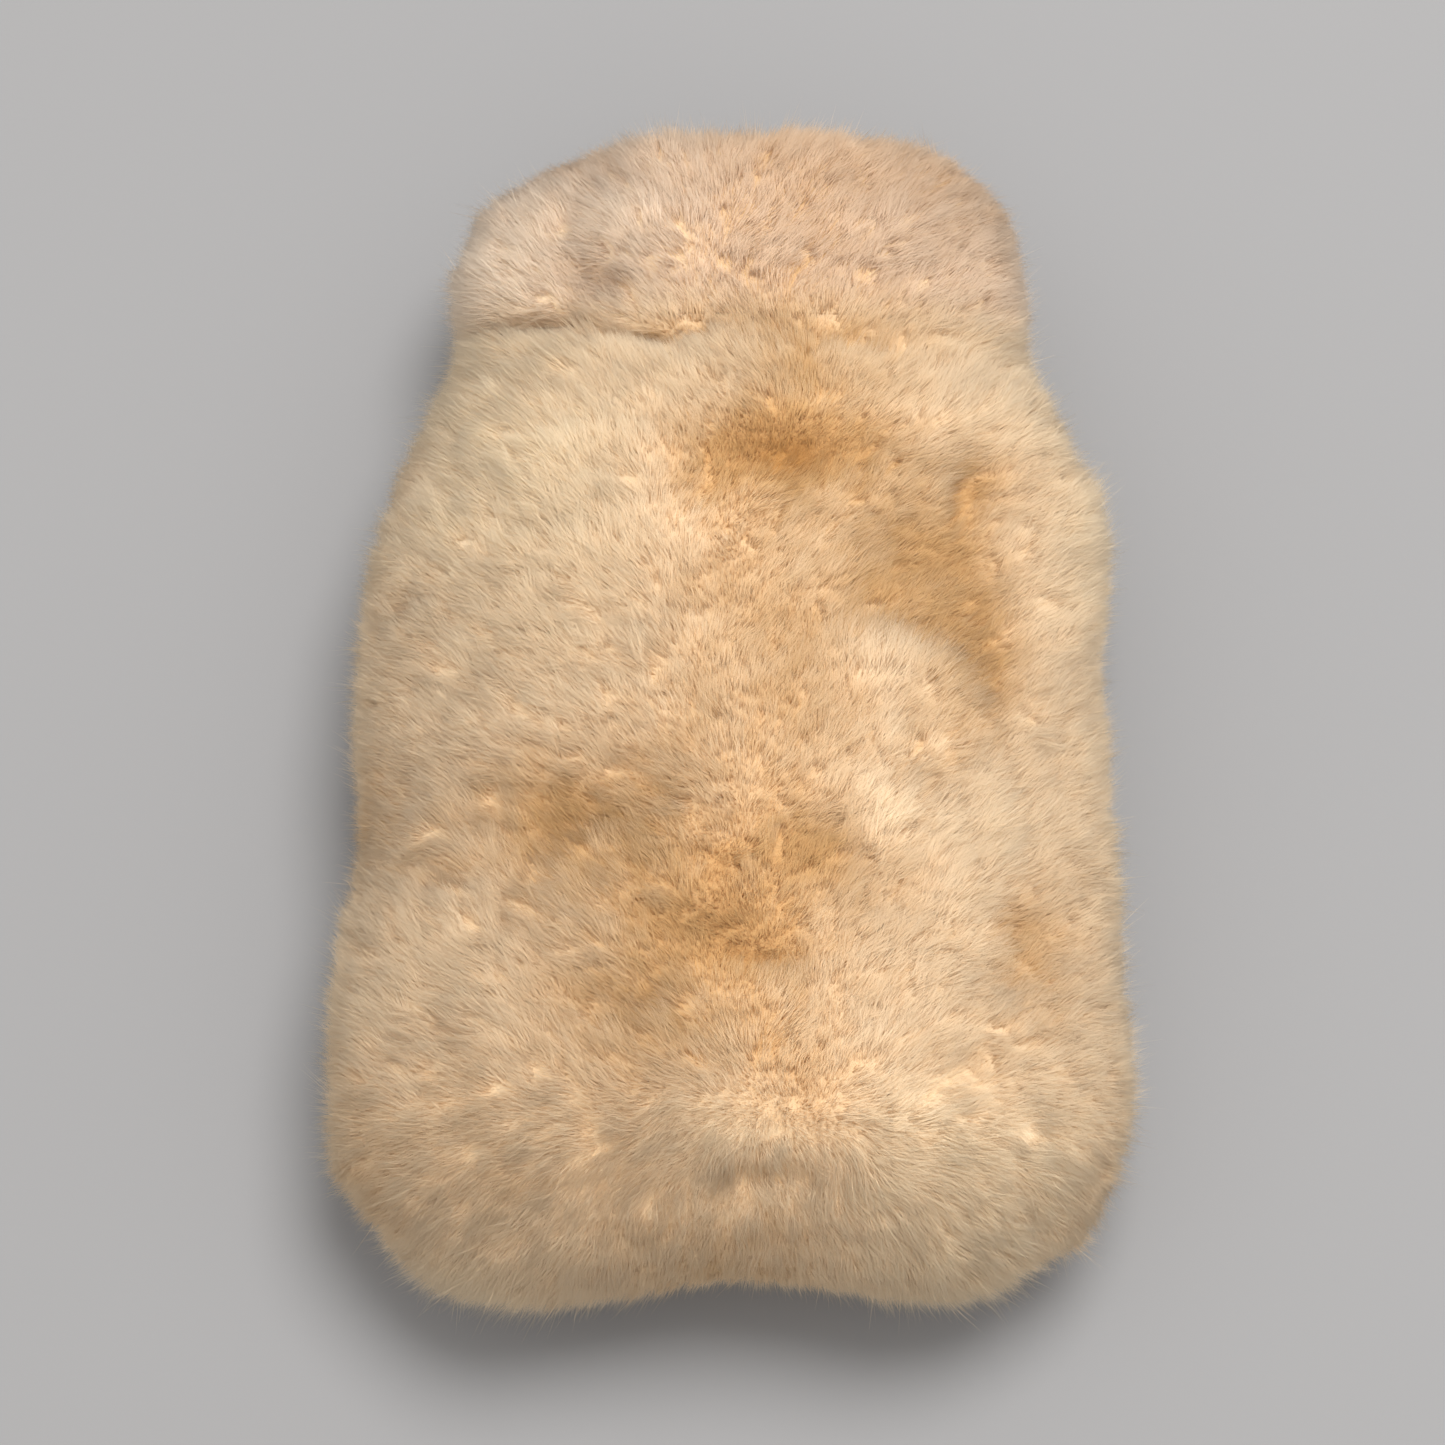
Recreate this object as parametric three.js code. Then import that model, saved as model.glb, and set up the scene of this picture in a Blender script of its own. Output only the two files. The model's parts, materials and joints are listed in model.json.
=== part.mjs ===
// Sheepskin wash mitt, lying flat on its back: a pile-covered bag for the hand, a drawn-in wrist
// and a pile cuff whose mouth faces +Y. Millimetres, +Z up, X across, origin under the middle.
//
// Every layer is a shell round the hand: lining, skin and pile are the same surface at growing
// offsets from the outside of the skin. The front half lies above the seam plane, the back half below.
import * as THREE from "three";

// The two planes that the mitt is laid out from
const SEAM_HEIGHT = 31; // of the plane where front and back meet
const WRIST_Y = 87; // where the cuff folds against the hand part

// Layers, as offsets from the outside of the skin
const PILE_BASE = 0.4;
const PILE_TOP = 20;
const SKIN_INSIDE = -1.4;
const LINING_OUTSIDE = -3.3;
const LINING_INSIDE = -4.3;
const HALF_GAP = 1; // between the seam plane and each half of a layer

// Hand part, measured on the skin
const HAND_HALF_WIDTH = 69;
const HAND_TAPER = 0.035; // half-width gained for each millimetre towards the closed end
const SHOULDER_Y = 38; // where the sides start to draw in
const WRIST_HALF_WIDTH = 52.5; // and the cuff's
const HAND_HALF_HEIGHT = 13;
const WRIST_HALF_HEIGHT = 11;
const WRIST_REACH = 24; // along Y each way, over which the skin thins towards the wrist
const CORNER_Y = -95; // where the closed end's corners start
const CORNER_POWER = 3.2;
const END_Y = -125; // of the skin at the closed end
const END_ROUND_Y = -90; // where the closed end starts to thin
const END_ROUND_POWER = 2.3;

// Cuff
const CUFF_ROUND_Y = 100; // where the pile starts to round over to the mouth
const CUFF_ROUND_POWER = 2.2;
const PILE_RIM_Y = 145;
const SKIN_RIM_Y = 125;
const RIM_BOW = 6; // the sides of the mouth lie this much further back than its middle
const RIM_SHARE = 0.1; // of the pile's thickness that is left at the mouth

// Pressed parts of the pile
const CREASE_DEPTH = 4; // of the pile at the wrist
const CREASE_REACH = 16; // along Y, each way

// Wrist fold
const FOLD_LIMIT = THREE.MathUtils.degToRad(21);
const FOLD_GAP = 0.5; // each side of the fold line
const FOLD_PASSES = 6; // enough for foldY to settle

const SECTION_POWER = 2.3; // 2 is an ellipse, more is boxier
const AROUND = 18; // steps round half a section
const SHOULDER_STEPS = 7; // along the hand part, from the wrist to the shoulders,
const STRAIGHT_STEPS = 4; // on to the corners,
const CORNER_STEPS = 6; // and round the closed end
const HAND_STEPS = SHOULDER_STEPS + STRAIGHT_STEPS + CORNER_STEPS;
const CUFF_STEPS = 8;

// The mouth's line, which bows back at its sides.
const rimLine = (middle, a) => middle - RIM_BOW * Math.cos(a) ** 2;

const clamp01 = (t) => THREE.MathUtils.clamp(t, 0, 1);
const smooth = (t) => THREE.MathUtils.smoothstep(t, 0, 1);
const signedPower = (v, power) => Math.sign(v) * Math.abs(v) ** power;

// How much of the full size is left at t along a rounded end, from 1 at t = 0 to 0 at t = 1.
const roundOff = (t, power) => (1 - clamp01(t) ** power) ** (1 / power);

// Half-width and half-height of the skin along the mitt.
function skinHalfWidth(y) {
  const hand = HAND_HALF_WIDTH - HAND_TAPER * Math.min(y, SHOULDER_Y);
  const drawnIn = smooth((y - SHOULDER_Y) / (WRIST_Y - SHOULDER_Y));
  return THREE.MathUtils.lerp(hand, WRIST_HALF_WIDTH, drawnIn);
}

function skinHalfHeight(y) {
  const fromWrist = smooth(Math.abs(y - WRIST_Y) / WRIST_REACH);
  return THREE.MathUtils.lerp(WRIST_HALF_HEIGHT, HAND_HALF_HEIGHT, fromWrist);
}

// The pile is pressed in at the wrist, so its outside sits closer to the skin there.
function atWrist(offset, y) {
  const pressed = Math.exp(-(((y - WRIST_Y) / CREASE_REACH) ** 2));
  return offset - (CREASE_DEPTH * pressed * Math.max(offset, 0)) / PILE_TOP;
}

// Half-width and half-height of a layer of the hand part, closed and rounded at -Y.
function handSize(y, offset) {
  const end = END_Y - offset;
  const out = atWrist(offset, y);
  const corner = roundOff((CORNER_Y - y) / (CORNER_Y - end), CORNER_POWER);
  const thin = roundOff((END_ROUND_Y - y) / (END_ROUND_Y - end), END_ROUND_POWER);
  return [(skinHalfWidth(y) + out) * corner, (skinHalfHeight(y) + out) * thin];
}

// The same for the cuff, whose pile rounds over to the mouth.
function cuffSize(y, offset, rimY) {
  const left = roundOff((y - CUFF_ROUND_Y) / (rimY - CUFF_ROUND_Y), CUFF_ROUND_POWER);
  const out = offset > 0 ? atWrist(offset, y) * Math.max(left, RIM_SHARE) : offset;
  return [skinHalfWidth(y) + out, skinHalfHeight(y) + out];
}

// A point of a section at angle a, 0 at +X and half a turn at -X, above (side 1) or below (side -1)
// the seam plane. The underside is pressed flat where it lies on the table.
function sectionPoint([halfWidth, halfHeight], y, a, side) {
  const rise = (halfHeight - HALF_GAP) * Math.sin(a) ** (2 / SECTION_POWER);
  const x = halfWidth * signedPower(Math.cos(a), 2 / SECTION_POWER);
  const z = SEAM_HEIGHT + side * (HALF_GAP + Math.max(rise, 0));
  return new THREE.Vector3(x, y, Math.max(z, 0));
}

// Where a layer meets the fold at the wrist: both sides lean away from it, so that the cuff can turn
// by FOLD_LIMIT either way about the seam plane before the two faces touch. toCuff is 1 or -1.
function foldY(sizeAt, a, side, toCuff) {
  let y = WRIST_Y;
  for (let pass = 0; pass < FOLD_PASSES; pass++) {
    const z = sectionPoint(sizeAt(y), y, a, side).z;
    y = WRIST_Y + toCuff * (FOLD_GAP + Math.abs(z - SEAM_HEIGHT) * Math.tan(FOLD_LIMIT / 2));
  }
  return y;
}

// Where step i lies along the hand part. The steps are finer where the outline bends.
function handY(i, startY, endY) {
  if (i <= SHOULDER_STEPS) return THREE.MathUtils.lerp(startY, SHOULDER_Y, i / SHOULDER_STEPS);
  const straight = (i - SHOULDER_STEPS) / STRAIGHT_STEPS;
  if (straight <= 1) return THREE.MathUtils.lerp(SHOULDER_Y, CORNER_Y, straight);
  const turn = ((i - SHOULDER_STEPS - STRAIGHT_STEPS) / CORNER_STEPS) * (Math.PI / 2);
  return THREE.MathUtils.lerp(CORNER_Y, endY, Math.sin(turn));
}

// A layer's surface over the hand part, from the wrist to the closed end.
const handSurface = (offset) => (i, [a, side]) => {
  const sizeAt = (y) => handSize(y, offset);
  const y = handY(i, foldY(sizeAt, a, side, -1), END_Y - offset);
  return sectionPoint(sizeAt(y), y, a, side);
};

// A layer's surface over the cuff, from the wrist to the mouth.
const cuffSurface = (offset, rimMiddle) => (i, [a, side]) => {
  const rimY = rimLine(rimMiddle, a);
  const sizeAt = (y) => cuffSize(y, offset, rimY);
  const along = Math.sin((i / CUFF_STEPS) * (Math.PI / 2));
  const y = THREE.MathUtils.lerp(foldY(sizeAt, a, side, 1), rimY, along);
  return sectionPoint(sizeAt(y), y, a, side);
};

// Places round a section, each an angle and a side: half of it above or below the seam plane, or
// all the way round.
const halfRound = (side) => Array.from({ length: AROUND + 1 }, (_, j) => [(j / AROUND) * Math.PI, side]);
const allRound = [...halfRound(1), ...halfRound(-1).reverse()];

const SAME_POINT = 0.001;

// One closed body between two surfaces, each a function of the step along Y and the place round.
function shell(outside, inside, alongSteps, places) {
  const ring = places === allRound;
  const points = [];
  for (const surface of [outside, inside]) {
    for (let i = 0; i <= alongSteps; i++) {
      for (const place of places) points.push(surface(i, place));
    }
  }
  const index = [];
  const columns = places.length;
  const at = (layer, i, j) => (layer * (alongSteps + 1) + i) * columns + (j % columns);
  const same = (p, q) => points[p].distanceTo(points[q]) < SAME_POINT;
  const triangle = (p, q, r) => {
    if (!same(p, q) && !same(q, r) && !same(r, p)) index.push(p, q, r);
  };
  const quad = (p, q, r, s) => {
    triangle(p, q, r);
    triangle(p, r, s);
  };
  const strips = ring ? columns : columns - 1;
  for (let j = 0; j < strips; j++) {
    for (let i = 0; i < alongSteps; i++) {
      quad(at(0, i, j), at(0, i + 1, j), at(0, i + 1, j + 1), at(0, i, j + 1));
      quad(at(1, i, j), at(1, i, j + 1), at(1, i + 1, j + 1), at(1, i + 1, j));
    }
    const end = alongSteps;
    quad(at(0, 0, j), at(0, 0, j + 1), at(1, 0, j + 1), at(1, 0, j));
    quad(at(0, end, j), at(1, end, j), at(1, end, j + 1), at(0, end, j + 1));
  }
  for (let i = 0; i < alongSteps && !ring; i++) {
    quad(at(0, i, 0), at(1, i, 0), at(1, i + 1, 0), at(0, i + 1, 0));
    quad(at(0, i, strips), at(0, i + 1, strips), at(1, i + 1, strips), at(1, i, strips));
  }
  return closedGeometry(points, index);
}

// A geometry with its faces turned outwards.
function closedGeometry(points, index) {
  let volume = 0;
  for (let i = 0; i < index.length; i += 3) {
    const [p, q, r] = [points[index[i]], points[index[i + 1]], points[index[i + 2]]];
    volume += p.dot(q.clone().cross(r));
  }
  const geometry = new THREE.BufferGeometry().setFromPoints(points);
  geometry.setIndex(volume > 0 ? index : index.reverse());
  geometry.computeVertexNormals();
  return geometry;
}

const materials = {
  wool: new THREE.MeshStandardMaterial({ color: 0xd9bb94, roughness: 0.95 }),
  cuffWool: new THREE.MeshStandardMaterial({ color: 0xe0c3a4, roughness: 0.95 }),
  skin: new THREE.MeshStandardMaterial({ color: 0xb08a62, roughness: 0.9 }),
  lining: new THREE.MeshStandardMaterial({ color: 0xe6dccb, roughness: 0.9 }),
  knit: new THREE.MeshStandardMaterial({ color: 0xd8c7ab, roughness: 0.9 }),
  tape: new THREE.MeshStandardMaterial({ color: 0xcbb592, roughness: 0.8 }),
  thread: new THREE.MeshStandardMaterial({ color: 0xd6c4a2, roughness: 0.6 }),
  elastic: new THREE.MeshStandardMaterial({ color: 0xf0ece4, roughness: 0.7 }),
  label: new THREE.MeshStandardMaterial({ color: 0xf6f4ee, roughness: 0.5 }),
};

const mitt = new THREE.Group();

function add(parent, name, geometry, material) {
  const mesh = new THREE.Mesh(geometry, material);
  mesh.name = name;
  parent.add(mesh);
  return mesh;
}

const handLayer = (inside, outside, side) =>
  shell(handSurface(outside), handSurface(inside), HAND_STEPS, halfRound(side));

const cuffLayer = (inside, outside, rimY, places) =>
  shell(cuffSurface(outside, rimY), cuffSurface(inside, rimY), CUFF_STEPS, places);

// Skins and piles of the two pelts, and the lining panels.
for (const [name, side] of [["front", 1], ["back", -1]]) {
  const half = halfRound(side);
  add(mitt, `${name}_pile`, handLayer(PILE_BASE, PILE_TOP, side), materials.wool);
  add(mitt, `${name}_skin`, handLayer(SKIN_INSIDE, 0, side), materials.skin);
  add(mitt, `${name}_lining`, handLayer(LINING_INSIDE, LINING_OUTSIDE, side), materials.lining);
  add(mitt, `cuff_${name}_pile`, cuffLayer(PILE_BASE, PILE_TOP, PILE_RIM_Y, half), materials.cuffWool);
  add(mitt, `cuff_${name}_skin`, cuffLayer(SKIN_INSIDE, 0, SKIN_RIM_Y, half), materials.skin);
}

// The knitted tube inside the cuff, from the fold to the mouth.
add(mitt, "cuff_facing", cuffLayer(LINING_INSIDE, LINING_OUTSIDE, SKIN_RIM_Y, allRound), materials.knit);

// A band that goes all the way round, between two offsets from the skin and two lines along Y.
function band(inside, outside, fromY, toY) {
  const surface = (offset) => (i, [a, side]) => {
    const y = i === 0 ? fromY(a) : toY(a);
    return sectionPoint([skinHalfWidth(y) + offset, skinHalfHeight(y) + offset], y, a, side);
  };
  return shell(surface(outside), surface(inside), 1, allRound);
}

// The elastic and the threads that go round lie between skin and lining.
const BAND_INSIDE = -2.7;
const BAND_OUTSIDE = -2;
const ELASTIC_START_Y = WRIST_Y - 14; // on the hand's side of the fold
const ELASTIC_END_Y = WRIST_Y - 6;
add(
  mitt,
  "wrist_elastic",
  band(BAND_INSIDE, BAND_OUTSIDE, () => ELASTIC_START_Y, () => ELASTIC_END_Y),
  materials.elastic,
);

// Threads that go all the way round.
const THREAD = 0.7;
const THREAD_GAP = 0.4; // to the edge that a thread runs along
const WRIST_THREAD_Y = ELASTIC_END_Y + 1;
for (const [name, startY] of [
  ["wrist_thread", () => WRIST_THREAD_Y],
  ["mouth_thread", (a) => rimLine(SKIN_RIM_Y + THREAD_GAP, a)],
]) {
  const endY = (a) => startY(a) + THREAD;
  add(mitt, name, band(BAND_INSIDE, BAND_OUTSIDE, startY, endY), materials.thread);
}

// A flat strip in the seam plane that follows a layer's outline between two offsets.
function seamStrip(outlineAt, inside, outside, halfThickness, steps) {
  const points = [];
  for (let i = 0; i <= steps; i++) {
    for (const [offset, z] of [
      [inside, -halfThickness],
      [outside, -halfThickness],
      [outside, halfThickness],
      [inside, halfThickness],
    ]) {
      const [x, y] = outlineAt(i / steps, offset);
      points.push(new THREE.Vector3(x, y, SEAM_HEIGHT + z));
    }
  }
  const index = [];
  for (let i = 0; i < steps; i++) {
    for (let j = 0; j < 4; j++) {
      const [p, q] = [4 * i + j, 4 * i + ((j + 1) % 4)];
      index.push(p, q, q + 4, p, q + 4, p + 4);
    }
  }
  index.push(0, 3, 2, 0, 2, 1);
  const last = 4 * steps;
  index.push(last, last + 1, last + 2, last, last + 2, last + 3);
  return closedGeometry(points, index);
}

// Round the hand part's seam, from the left of the wrist to the right, by way of the closed end.
const TAPE_START_Y = ELASTIC_START_Y - 2; // clear of the elastic
const handOutline = (s, offset) => {
  const t = 2 * s - 1;
  const y = THREE.MathUtils.lerp(END_Y - offset, TAPE_START_Y, 1 - Math.cos((t * Math.PI) / 2));
  return [Math.sign(t) * handSize(y, offset)[0], y];
};

const TAPE_HALF_THICKNESS = 0.7;
const TAPE_INSIDE = -7;
const TAPE_OUTSIDE = 3;
const TAPE_STEPS = 40;
const SEAM_THREAD = TAPE_OUTSIDE + THREAD_GAP;
add(
  mitt,
  "seam_tape",
  seamStrip(handOutline, TAPE_INSIDE, TAPE_OUTSIDE, TAPE_HALF_THICKNESS, TAPE_STEPS),
  materials.tape,
);
add(
  mitt,
  "seam_thread",
  seamStrip(handOutline, SEAM_THREAD, SEAM_THREAD + THREAD, THREAD / 2, TAPE_STEPS),
  materials.thread,
);

// The cuff's two side seams, from the fold to the edge of the skin.
const CUFF_SEAM_START_Y = WRIST_Y + 2;
const CUFF_SEAM_END_Y = SKIN_RIM_Y - RIM_BOW - 1;
const CUFF_SEAM_STEPS = 6;
for (const [name, side] of [["left", -1], ["right", 1]]) {
  const outline = (s, offset) => {
    const y = THREE.MathUtils.lerp(CUFF_SEAM_START_Y, CUFF_SEAM_END_Y, s);
    return [side * (skinHalfWidth(y) + offset), y];
  };
  const strip = seamStrip(outline, BAND_INSIDE, TAPE_OUTSIDE, TAPE_HALF_THICKNESS, CUFF_SEAM_STEPS);
  add(mitt, `cuff_seam_${name}`, strip, materials.tape);
}

// The care label is sewn along its edge near the mouth and lies on the facing.
const LABEL = { width: 24, length: 14, thickness: 0.4, sewnY: 119 };
const LABEL_CLEARANCE = 0.5;
const tipY = LABEL.sewnY - LABEL.length;
const facingFloor = SEAM_HEIGHT - (skinHalfHeight(tipY) + LINING_INSIDE);
const label = add(
  mitt,
  "care_label",
  new THREE.BoxGeometry(LABEL.width, LABEL.length, LABEL.thickness),
  materials.label,
);
label.position.set(0, (LABEL.sewnY + tipY) / 2, facingFloor + LABEL_CLEARANCE + LABEL.thickness / 2);

export default mitt;
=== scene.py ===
"""Looks of a sheepskin wash mitt lying on a table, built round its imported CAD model.

Lengths are millimetres until a mesh is made. The mitt is one surface grown outwards by an offset from
the outside of its skin: lining and skin lie inside it, the pile's undercoat and hair outside.
"""

import json
import math
from functools import partial

import bpy
import numpy as np
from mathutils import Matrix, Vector
from mathutils.kdtree import KDTree


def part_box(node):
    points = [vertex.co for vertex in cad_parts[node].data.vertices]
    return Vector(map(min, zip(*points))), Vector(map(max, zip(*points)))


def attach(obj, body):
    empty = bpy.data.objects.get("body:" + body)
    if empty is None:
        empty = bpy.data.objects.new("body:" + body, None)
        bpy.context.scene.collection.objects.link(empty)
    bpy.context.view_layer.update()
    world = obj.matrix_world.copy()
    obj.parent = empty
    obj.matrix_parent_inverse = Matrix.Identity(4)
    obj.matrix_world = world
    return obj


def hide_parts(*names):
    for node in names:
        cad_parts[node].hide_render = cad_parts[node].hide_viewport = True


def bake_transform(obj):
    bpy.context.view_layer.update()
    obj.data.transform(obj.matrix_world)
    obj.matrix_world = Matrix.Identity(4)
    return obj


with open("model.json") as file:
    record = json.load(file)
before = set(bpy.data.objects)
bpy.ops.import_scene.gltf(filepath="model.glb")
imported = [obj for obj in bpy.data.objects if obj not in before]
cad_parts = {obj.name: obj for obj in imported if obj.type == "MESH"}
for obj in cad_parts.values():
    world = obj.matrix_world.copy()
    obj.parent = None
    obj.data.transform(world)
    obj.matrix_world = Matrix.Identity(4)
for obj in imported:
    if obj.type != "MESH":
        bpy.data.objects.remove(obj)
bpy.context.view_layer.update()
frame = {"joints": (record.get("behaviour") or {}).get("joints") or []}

MM = 0.001  # metres in a millimetre
rng = np.random.default_rng(7)

# Driving sizes, read from the frame
joint_at = {j["name"]: np.array(j["pos_m"]) / MM for j in frame["joints"]}
WRIST_Y = joint_at["cuff_fold"][1]
SEAM_HEIGHT = joint_at["cuff_fold"][2]
END_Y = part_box("front_skin")[0].y / MM  # of the skin at the closed end
SKIN_RIM_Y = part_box("cuff_front_skin")[1].y / MM
PILE_TOP = END_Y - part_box("front_pile")[0].y / MM

# Shape of the skin's outside, as in the CAD model
HAND_HALF_WIDTH = 69
HAND_TAPER = 0.035  # half-width gained for each millimetre towards the closed end
SHOULDER_Y = 38
WRIST_HALF_WIDTH = 52.5
HAND_HALF_HEIGHT = 13
WRIST_HALF_HEIGHT = 11
WRIST_REACH = 24  # along Y each way, over which the skin thins towards the wrist
CORNER_Y = END_Y + 30  # where the closed end's corners start
CORNER_POWER = 3.2
END_ROUND_Y = END_Y + 35  # where the closed end starts to thin
END_ROUND_POWER = 2.3
CUFF_ROUND_Y = SKIN_RIM_Y - 25  # where the pile starts to round over to the mouth
CUFF_ROUND_POWER = 2.2
RIM_BOW = 6  # the sides of the mouth lie this much further back than its middle
CREASE_DEPTH = 4  # of the pile at the wrist
CREASE_REACH = 16  # along Y, each way
SECTION_POWER = 2.3  # 2 is an ellipse, more is boxier

# Layers, as offsets from the outside of the skin
PILE_BASE = 0.4
SKIN_INSIDE = -1.4
LINING_OUTSIDE = -3.3
LINING_INSIDE = -4.3
BAND_OUTSIDE = -2.0  # of the elastic and the threads that go round
BAND_INSIDE = -2.7
FAR_INSIDE = SKIN_INSIDE - 10  # in the hollow
HALF_GAP = 1.0  # between the seam plane and each half of a layer,
PILE_GAP = 0.2  # and of the pile's outside
FOLD_GAP = 0.2  # between the wrist's fold and each zone's layers

# The wrist's stretch, each way from the fold; the hair rooted there, and a hair's reach beyond, has
# pieces of its own
BEND_REACH = 18


# ---------------------------------------------------------------- numbers


def clamp01(t):
    return np.clip(t, 0.0, 1.0)


def smooth(t):
    t = clamp01(t)
    return t * t * (3 - 2 * t)


def lerp(a, b, t):
    return a + (b - a) * t


def round_off(t, power):
    """What is left of the full size at t along a rounded end, from 1 at 0 to 0 at 1."""
    return (1 - clamp01(t) ** power) ** (1 / power)


def signed_power(v, power):
    return np.sign(v) * np.abs(v) ** power


def unit(v):
    return v / np.maximum(np.linalg.norm(v, axis=-1, keepdims=True), 1e-9)


def lattice(cell, seed):
    """A random number from -1 to 1 for each whole-numbered cell (..., 3)."""
    cell = cell.astype(np.int64)
    n = (cell[..., 0] * 73856093) ^ (cell[..., 1] * 19349663) ^ (cell[..., 2] * 83492791)
    n = (n ^ (seed * 2654435761)) & 0xFFFFFFFF
    n = ((n ^ (n >> 13)) * 1274126177) & 0xFFFFFFFF
    n = ((n ^ (n >> 15)) * 2246822519) & 0xFFFFFFFF
    return ((n ^ (n >> 16)) & 0xFFFF) / 0x7FFF - 1.0


def noise(points, size, seed):
    """Smooth noise from about -1 to 1, with bumps about size apart."""
    q = points / size
    low = np.floor(q)
    f = smooth(q - low)
    total = np.zeros(points.shape[:-1])
    for corner in np.ndindex(2, 2, 2):
        pick = np.array(corner)
        weight = np.prod(np.where(pick == 1, f, 1 - f), axis=-1)
        total += weight * lattice(low + pick, seed)
    return total


# ---------------------------------------------------------------- the mitt's surface


def skin_half_width(y):
    hand = HAND_HALF_WIDTH - HAND_TAPER * np.minimum(y, SHOULDER_Y)
    return lerp(hand, WRIST_HALF_WIDTH, smooth((y - SHOULDER_Y) / (WRIST_Y - SHOULDER_Y)))


def skin_half_height(y):
    return lerp(WRIST_HALF_HEIGHT, HAND_HALF_HEIGHT, smooth(np.abs(y - WRIST_Y) / WRIST_REACH))


def at_wrist(offset, y):
    """The pile is pressed in at the wrist."""
    pressed = np.exp(-(((y - WRIST_Y) / CREASE_REACH) ** 2))
    return offset - CREASE_DEPTH * pressed * np.maximum(offset, 0) / PILE_TOP


END_TURN = math.radians(86)  # just short of the closed end's pole
END_LENGTH = 42  # along the pile, of the closed end,
RIM_LENGTH = 40  # and of the rounding at the mouth


def stations(step, from_y=END_Y, to_y=SKIN_RIM_Y):
    """Places along the mitt, as (y of the straight part, share of closed end, share of the mouth)."""
    end_turn = np.linspace(END_TURN, 0, max(6, round(END_LENGTH / step)), endpoint=False)
    rim_turn = np.linspace(0, math.pi / 2, max(6, round(RIM_LENGTH / step)))[1:]
    rows = [(CORNER_Y, math.sin(t) ** (2 / CORNER_POWER), 0) for t in end_turn if from_y < CORNER_Y]
    first, last = max(from_y, CORNER_Y), min(to_y, CUFF_ROUND_Y)
    steps = max(2, round((last - first) / step))
    rows += [(y, 0, 0) for y in np.linspace(first, last, steps + 1)]
    if to_y > CUFF_ROUND_Y:
        rows += [(CUFF_ROUND_Y, 0, math.sin(t) ** (2 / CUFF_ROUND_POWER)) for t in rim_turn]
    return np.array(rows)


def halved(points, side, gap=HALF_GAP):
    """Keeps a half of a layer clear of the seam plane, above it (side 1) or below it (side -1)."""
    p = points.copy()
    p[..., 2] = SEAM_HEIGHT + side * np.maximum(side * (p[..., 2] - SEAM_HEIGHT), gap)
    return p


def surface(rows, angles, offset):
    """Points (station, angle, 3) of the surface at an offset. The angles start at the right side, and
    half a turn is the left side, by way of the top.
    """
    base, at_end, at_rim = (rows[:, k][:, None] for k in range(3))
    a = np.asarray(angles)[None, :]
    offset = np.broadcast_to(offset, (len(rows), a.shape[1]))
    grown = np.maximum(offset, 0)
    y = base - at_end * (CORNER_Y - END_Y + offset)
    y = y + at_rim * (SKIN_RIM_Y - CUFF_ROUND_Y + grown - RIM_BOW * np.cos(a) ** 2)
    out = at_wrist(offset, y)
    out = np.where(offset > 0, out * round_off(at_rim, CUFF_ROUND_POWER), out)
    thin = round_off((END_ROUND_Y - y) / (END_ROUND_Y - END_Y + offset), END_ROUND_POWER)
    half_width = (skin_half_width(y) + out) * round_off(at_end, CORNER_POWER)
    half_height = (skin_half_height(y) + out) * thin
    x = half_width * signed_power(np.cos(a), 2 / SECTION_POWER)
    z = SEAM_HEIGHT + half_height * signed_power(np.sin(a), 2 / SECTION_POWER)
    return np.stack([x, y + 0 * x, z], axis=-1)


# ---------------------------------------------------------------- the pile's shape

LEAN_AT_HAND = 1.5  # to the right
LEAN_AT_CUFF = 5.0
LEAN_FROM_Y = 10
LEAN_REACH = 50
ARCH_RISE = 12.5  # of the closed end's middle over the table
ARCH_X = 12
ARCH_HALF_WIDTH = 40
ARCH_FROM_Y = -108
ARCH_REACH = 30  # along Y, and up to where the rise has faded out
ARCH_TOP_Z = SEAM_HEIGHT + 6
FLOOR_CLEARANCE = 0.15

# Places on the pile, each as x, y, reach along x, reach along y, strength. These press it in,
HOLLOWS = [
    (14, 47, 18, 8, 0.38),
    (-6, 36, 10, 9, 0.20),
    (57, 42, 6, 9, 0.30),
    (50, 18, 18, 18, 0.18),
    (65, -3, 9, 14, 0.24),
    (-36, -43, 19, 13, 0.28),
    (-66, -54, 8, 5, 0.16),
    (-76, 12, 8, 5, 0.14),
    (-2, -68, 20, 14, 0.20),
    (7, -75, 8, 3, 0.24),
    (-24, -84, 12, 8, 0.16),
    (10, -122, 14, 5, 0.15),
    (70, -68, 11, 14, 0.20),
    (54, -104, 12, 6, 0.14),
    (-36, 93, 11, 5, 0.24),
    (-45, 106, 6, 9, 0.20),
    (-51, 85, 12, 3, 0.46),
    (-22, 81, 17, 3, 0.40),
    (26, 78, 14, 4, 0.18),
]
# these swell it up, both on the mitt's top only,
SWELLS = [
    (62, 60, 16, 12, 0.10),
    (80, 32, 8, 26, 0.16),
    (-48, 46, 22, 22, 0.10),
    (0, -112, 12, 9, 0.16),
    (34, -5, 10, 7, 0.18),
    (33, -43, 8, 7, 0.14),
    (52, -52, 16, 14, 0.08),
    (-32, -31, 14, 4, 0.08),
]
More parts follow.
